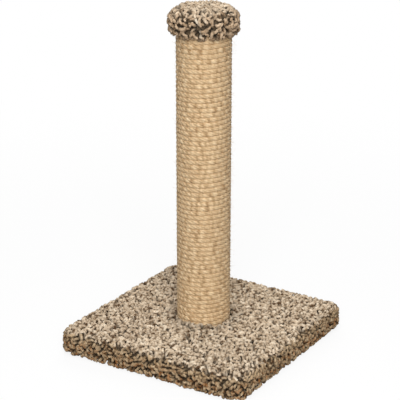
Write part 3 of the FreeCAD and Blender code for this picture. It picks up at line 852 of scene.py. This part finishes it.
def base_rows(grown):
    """(half side, level) from the fold's edge round to the top, grown from the CAD outline."""
    half = CARPET_HIGH.x + grown
    under, over = UNDER_EDGE + grown, BASE_TOP_EDGE + grown
    rows = [(FOLD_HALF - 1 * MM, CARPET_LOW.z - grown)]
    rows += arc_rows(half - under, CARPET_LOW.z - grown + under, under, -0.25, 0.0, 5)
    rows += arc_rows(half - over, CARPET_HIGH.z + grown - over, over, 0.0, 0.25, 5)
    return rows


def square_rings(rows, half, corner, least):
    """Rounded squares, whose corners get tighter by as much as they lie inside half."""
    return [rounded_square(h, max(corner - (half - h), least), z) for h, z in rows]


def base_rings(grown):
    """Rings from the fold's edge to the foot hole, where the pile is pushed up by the post."""
    rings = square_rings(base_rows(grown), CARPET_HIGH.x + grown, BASE_CORNER + grown, 2 * MM)
    angles = [math.atan2(p.y, p.x) for p in rings[-1]]
    top = CARPET_HIGH.z + grown
    rounds = (  # radius, and how far the ring lies above the top
        (110 * MM, 0.0), (76 * MM, 0.0), (64 * MM, 2.5 * MM), (FOOT_HOLE + 2 * MM, 6 * MM))
    return rings + [circle(radius, top + above, angles) for radius, above in rounds]


def backing_rings(offset):
    """Rings round the board, a little off its faces, from the fold's edge to the foot hole."""
    half, bend = BOARD_HIGH.x + offset, 1.5 * MM + offset
    low, high = BOARD_LOW.z - offset, BOARD_HIGH.z + offset
    rows = [(FOLD_HALF, low)]
    rows += arc_rows(half - bend, low + bend, bend, -0.25, 0.0, 3)
    rows += arc_rows(half - bend, high - bend, bend, 0.0, 0.25, 3)
    rings = square_rings(rows, half, 6 * MM + offset, 1 * MM)
    angles = [math.atan2(p.y, p.x) for p in rings[-1]]
    return rings + [circle(FOOT_HOLE, high, angles)]


class SCRATCHER_OT_base_carpet(bpy.types.Operator):
    """Wraps the base board in carpet: the woven backing, and the pile in four quarters"""
    bl_idname = "scratcher.base_carpet"
    bl_label = "Base carpet"

    def execute(self, context):
        carpet = context.scene.scratcher_carpet
        outer = backing_rings(BACKING_GAP + carpet.backing)
        inner = backing_rings(BACKING_GAP)
        mesh = skin("base_backing", outer + inner[::-1], closed=True)
        backing = as_object("base_backing", mesh, backing_material(carpet))
        stands_for(backing, "base_carpet")
        # The base's yarn; root_light and the side colour set its painted shade.
        yarn = yarn_material(
            carpet, "base_yarn", spots=1.7, root_light=0.66, painted_side_shade=(0.73, 0.65, 0.53))
        net = pile_form(yarn, frame["nodes"]["base_carpet_staples"])
        tip_rise = 3.5 * MM
        for sector, name in enumerate(("right", "back", "left", "front")):
            surface = skin("pile_surface", base_rings(-tip_rise))
            pile = keep_form(f"base_pile_{name}", net, {
                "Tuft spacing": carpet.tuft_spacing, "Yarn radius": carpet.tuft_radius,
                "Root depth": 8 * MM, "Tip rise": tip_rise, "Curl": 5.5 * MM, "Sector": sector,
            }, surface)
            stands_for(pile, "base_carpet")
        return {"FINISHED"}


def cap_rings(grown, low, angles):
    """Rings up the cap's side and over its shoulder, grown from the CAD outline."""
    radius = STRIP_HIGH.x + grown
    shoulder = CAP_SHOULDER + grown
    top = DISC_HIGH.z + grown - CAP_SETTLED
    inset, height = CAP_LOWER_EDGE
    leans = [TURN / 4 * i / 4 for i in range(5)]
    rows = [
        (radius - inset * (1 - math.sin(lean)), low + height * (1 - math.cos(lean)))
        for lean in leans
    ]
    rows += arc_rows(radius - shoulder, top - shoulder, shoulder, 0.0, 0.25, 6)
    return [circle(r, z, angles) for r, z in rows]


def sheet_object(name, cloth, angles, corners):
    """A round sheet of cloth, from the (radius, level) of its section's corners."""
    rings = [circle(radius, level, angles) for radius, level in corners]
    return as_object(name, skin(name, rings, closed=True), cloth, smooth=False)


class SCRATCHER_OT_cap_carpet(bpy.types.Operator):
    """Covers the post's top: a strip of carpet round it and a disc on its end"""
    bl_idname = "scratcher.cap_carpet"
    bl_label = "Cap carpet"

    def execute(self, context):
        carpet = context.scene.scratcher_carpet
        angles = even_angles(72)
        bore = ROPE_OUTER + 0.5 * MM
        low, high = STRIP_LOW.z + 0.5 * MM, STRIP_HIGH.z - 4 * MM
        outer, inner = bore + carpet.backing, bore
        cloth = backing_material(carpet)
        strip = sheet_object("cap_strip_backing", cloth, angles, [
            (outer, low), (outer, high), (inner, high), (inner, low)])
        stands_for(strip, "cap_strip_carpet")
        under, top = DISC_LOW.z + BACKING_GAP, DISC_LOW.z + carpet.backing
        disc_radius, eye_radius = ROPE_OUTER - BACKING_GAP, 0.5 * MM
        disc = sheet_object("cap_disc_backing", cloth, angles, [
            (eye_radius, under), (disc_radius, under), (disc_radius, top), (eye_radius, top)])
        stands_for(disc, "cap_disc_carpet")
        # The cap's yarn: the same yarn with its own painted shade, darker at the roots and lighter
        # on the sides.
        yarn = yarn_material(
            carpet, "cap_yarn", spots=1.1, root_light=0.12, painted_side_shade=(0.85, 0.77, 0.70))
        net = pile_form(yarn, frame["nodes"]["cap_strip_staples"])
        grown = -4.5 * MM
        rings = cap_rings(grown, STRIP_LOW.z - 1 * MM, angles)
        split = next(i for i, ring in enumerate(rings)
                     if ring[0].z > SPLIT_LEVEL and ring[0].x < ROPE_OUTER)
        for point, angle in zip(rings[split], angles):
            from_notch = (angle - NOTCH_BEARING) / NOTCH_WIDTH
            point.z -= SPLIT_DIP + NOTCH_DIP * math.exp(-from_notch * from_notch)
        sizes = {
            "Tuft spacing": carpet.cap_tuft_spacing, "Yarn radius": carpet.cap_tuft_radius,
            "Root depth": 8 * MM, "Tip rise": 5.0 * MM, "Curl": 6.5 * MM, "Lean": 0.45,
            "Ruffle": 1.8 * MM, "Mitre top": 0.0, "Staple clearance": 0.0,
            "Keep out height": DISC_LOW.z,
        }
        side = keep_form("cap_strip_pile", net, {
            **sizes, "Seed": 5, "Seam angle": SEAM_BEARING, "Seam half width": 0.8 * MM,
        }, skin("cap_side", rings[:split + 1]))
        stands_for(side, "cap_strip_carpet")
        over = rings[split:] + [circle(2 * MM, rings[-1][0].z, angles)]
        crown = keep_form("cap_disc_pile", net, {**sizes, "Seed": 4}, skin("cap_top", over))
        stands_for(crown, "cap_disc_carpet")
        return {"FINISHED"}


# ---------- hard parts


class SCRATCHER_OT_wood_and_board(bpy.types.Operator):
    """Finishes the particle board, the paperboard tube and the wooden plugs"""
    bl_idname = "scratcher.wood_and_board"
    bl_label = "Board, tube and plugs"

    def execute(self, context):
        finish_nodes(particle_board_material(), "base_board")
        finish_nodes(paperboard_material(), "post_tube")
        finish_nodes(plug_wood_material(), "bottom_plug", "top_plug")
        return {"FINISHED"}


class SCRATCHER_OT_steel(bpy.types.Operator):
    """Finishes the bolt, washer, tee nut and staples"""
    bl_idname = "scratcher.steel"
    bl_label = "Bolt, nut and staples"

    def execute(self, context):
        finish_nodes(plated_steel_material(), "post_bolt", "bolt_washer", "tee_nut")
        finish_nodes(
            staple_steel_material(), "base_carpet_staples", "bottom_plug_staples",
            "top_plug_staples", "rope_end_staples", "cap_disc_staples", "cap_strip_staples")
        return {"FINISHED"}


# ---------- stage


def seen_directly(net):
    """1 for a ray from the camera, or one that a mirror or glass passes on."""
    path = net.node("ShaderNodeLightPath", out="Is Camera Ray")
    glossy, passed = path.beside("Is Glossy Ray"), path.beside("Is Transmission Ray")
    return net.maths("MAXIMUM", path, net.maths("MAXIMUM", glossy, passed))


def floor_material(stage):
    """A floor that keeps a soft shadow near the post, and is white further out."""
    net = new_material("studio_floor")
    matt = net.node("ShaderNodeBsdfDiffuse", {"Color": (*stage.floor, 1.0)})
    pale = net.node("ShaderNodeBsdfDiffuse", {"Color": (1, 1, 1, 1)})
    white = net.node("ShaderNodeEmission", {"Color": (1, 1, 1, 1), "Strength": 1.0})
    away = net.vector("LENGTH", object_place(net)).beside("Value")
    glow = net.smooth(away, 0.35, 1.8, 0.86, 1.0)
    surface = net.mix_shaders(seen_directly(net), matt, net.mix_shaders(glow, pale, white))
    net.end("ShaderNodeOutputMaterial", surface)
    return net.material


def stand_off(name, data, azimuth, elevation, distance, target):
    """An object that faces the target, from an azimuth, an elevation and a distance."""
    away = Vector((math.sin(azimuth) * math.cos(elevation),
                   -math.cos(azimuth) * math.cos(elevation), math.sin(elevation)))
    body = bpy.data.objects.new(name, data)
    body.location = target + away * distance
    body.rotation_euler = away.to_track_quat("Z", "Y").to_euler()
    bpy.context.scene.collection.objects.link(body)
    return body


class SCRATCHER_OT_stage(bpy.types.Operator):
    """Adds the camera, the floor, the lamps and the white surroundings"""
    bl_idname = "scratcher.stage"
    bl_label = "Camera, floor and lights"

    def execute(self, context):
        stage = context.scene.scratcher_stage
        scene = context.scene
        scene.view_settings.view_transform = "Standard"
        azimuth = stage.azimuth
        right = Vector((math.cos(azimuth), math.sin(azimuth), 0.0))
        target = Vector((0, 0, stage.target_height)) + right * stage.target_aside
        camera = bpy.data.cameras.new("photograph_view")
        camera.lens, camera.sensor_width = stage.lens, 36.0
        camera.clip_start, camera.clip_end = 0.1, 100.0
        scene.camera = stand_off(
            "photograph_view", camera, azimuth, stage.elevation, stage.distance, target)
        reach = 30.0
        floor_mesh = bpy.data.meshes.new("studio_floor")
        floor_mesh.from_pydata(
            [(-reach, -reach, 0), (reach, -reach, 0), (reach, reach, 0), (-reach, reach, 0)],
            [], [(0, 1, 2, 3)])
        as_object("studio_floor", floor_mesh, floor_material(stage), smooth=False)
        world = bpy.data.worlds.new("white_studio")
        world.use_nodes = True
        world.node_tree.nodes.clear()
        scene.world = world
        net = Net(world.node_tree)
        glow, white = (
            net.node("ShaderNodeBackground", {"Color": (1, 1, 1, 1), "Strength": strength})
            for strength in (stage.sky, 1.0))
        surface = net.mix_shaders(seen_directly(net), glow, white)
        net.end("ShaderNodeOutputWorld", surface)
        for name, power, side, turned, elevation, distance in LAMPS:
            lamp = bpy.data.lights.new(name, "AREA")
            lamp.size, lamp.energy = side, getattr(stage, power)
            stand_off(name, lamp, azimuth + math.radians(turned), math.radians(elevation),
                      distance, LIT_POINT)
        return {"FINISHED"}


# ---------- panel and run


class SCRATCHER_PT_post(bpy.types.Panel):
    """Lists what the scratching post is made of"""
    bl_idname = "SCRATCHER_PT_post"
    bl_label = "Scratching post"
    bl_space_type = "VIEW_3D"
    bl_region_type = "UI"
    bl_category = "Scratching post"

    def draw(self, context):
        for settings, maker in SECTIONS:
            box = self.layout.box()
            for operator in maker:
                box.operator(operator.bl_idname)
            if settings:
                group = getattr(context.scene, settings)
                for name in group.__annotations__:
                    box.prop(group, name)


SECTIONS = (
    ("scratcher_stage", (SCRATCHER_OT_stage,)),
    ("scratcher_rope", (SCRATCHER_OT_rope,)),
    ("scratcher_carpet", (SCRATCHER_OT_base_carpet, SCRATCHER_OT_cap_carpet)),
    (None, (SCRATCHER_OT_wood_and_board, SCRATCHER_OT_steel)),
)
SETTINGS = {
    "scratcher_carpet": CarpetSettings,
    "scratcher_rope": RopeSettings,
    "scratcher_stage": StageSettings,
}
CLASSES = (
    *SETTINGS.values(), *(maker for _, makers in SECTIONS for maker in makers), SCRATCHER_PT_post)


def register():
    for each in CLASSES:
        bpy.utils.register_class(each)
    for name, group in SETTINGS.items():
        setattr(bpy.types.Scene, name, PointerProperty(type=group))


def unregister():
    for name in SETTINGS:
        delattr(bpy.types.Scene, name)
    for each in reversed(CLASSES):
        bpy.utils.unregister_class(each)


def main():
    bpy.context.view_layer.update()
    register()
    bpy.ops.scratcher.stage()
    bpy.ops.scratcher.wood_and_board()
    bpy.ops.scratcher.steel()
    bpy.ops.scratcher.rope()
    bpy.ops.scratcher.base_carpet()
    bpy.ops.scratcher.cap_carpet()


if __name__ == "__main__":
    main()
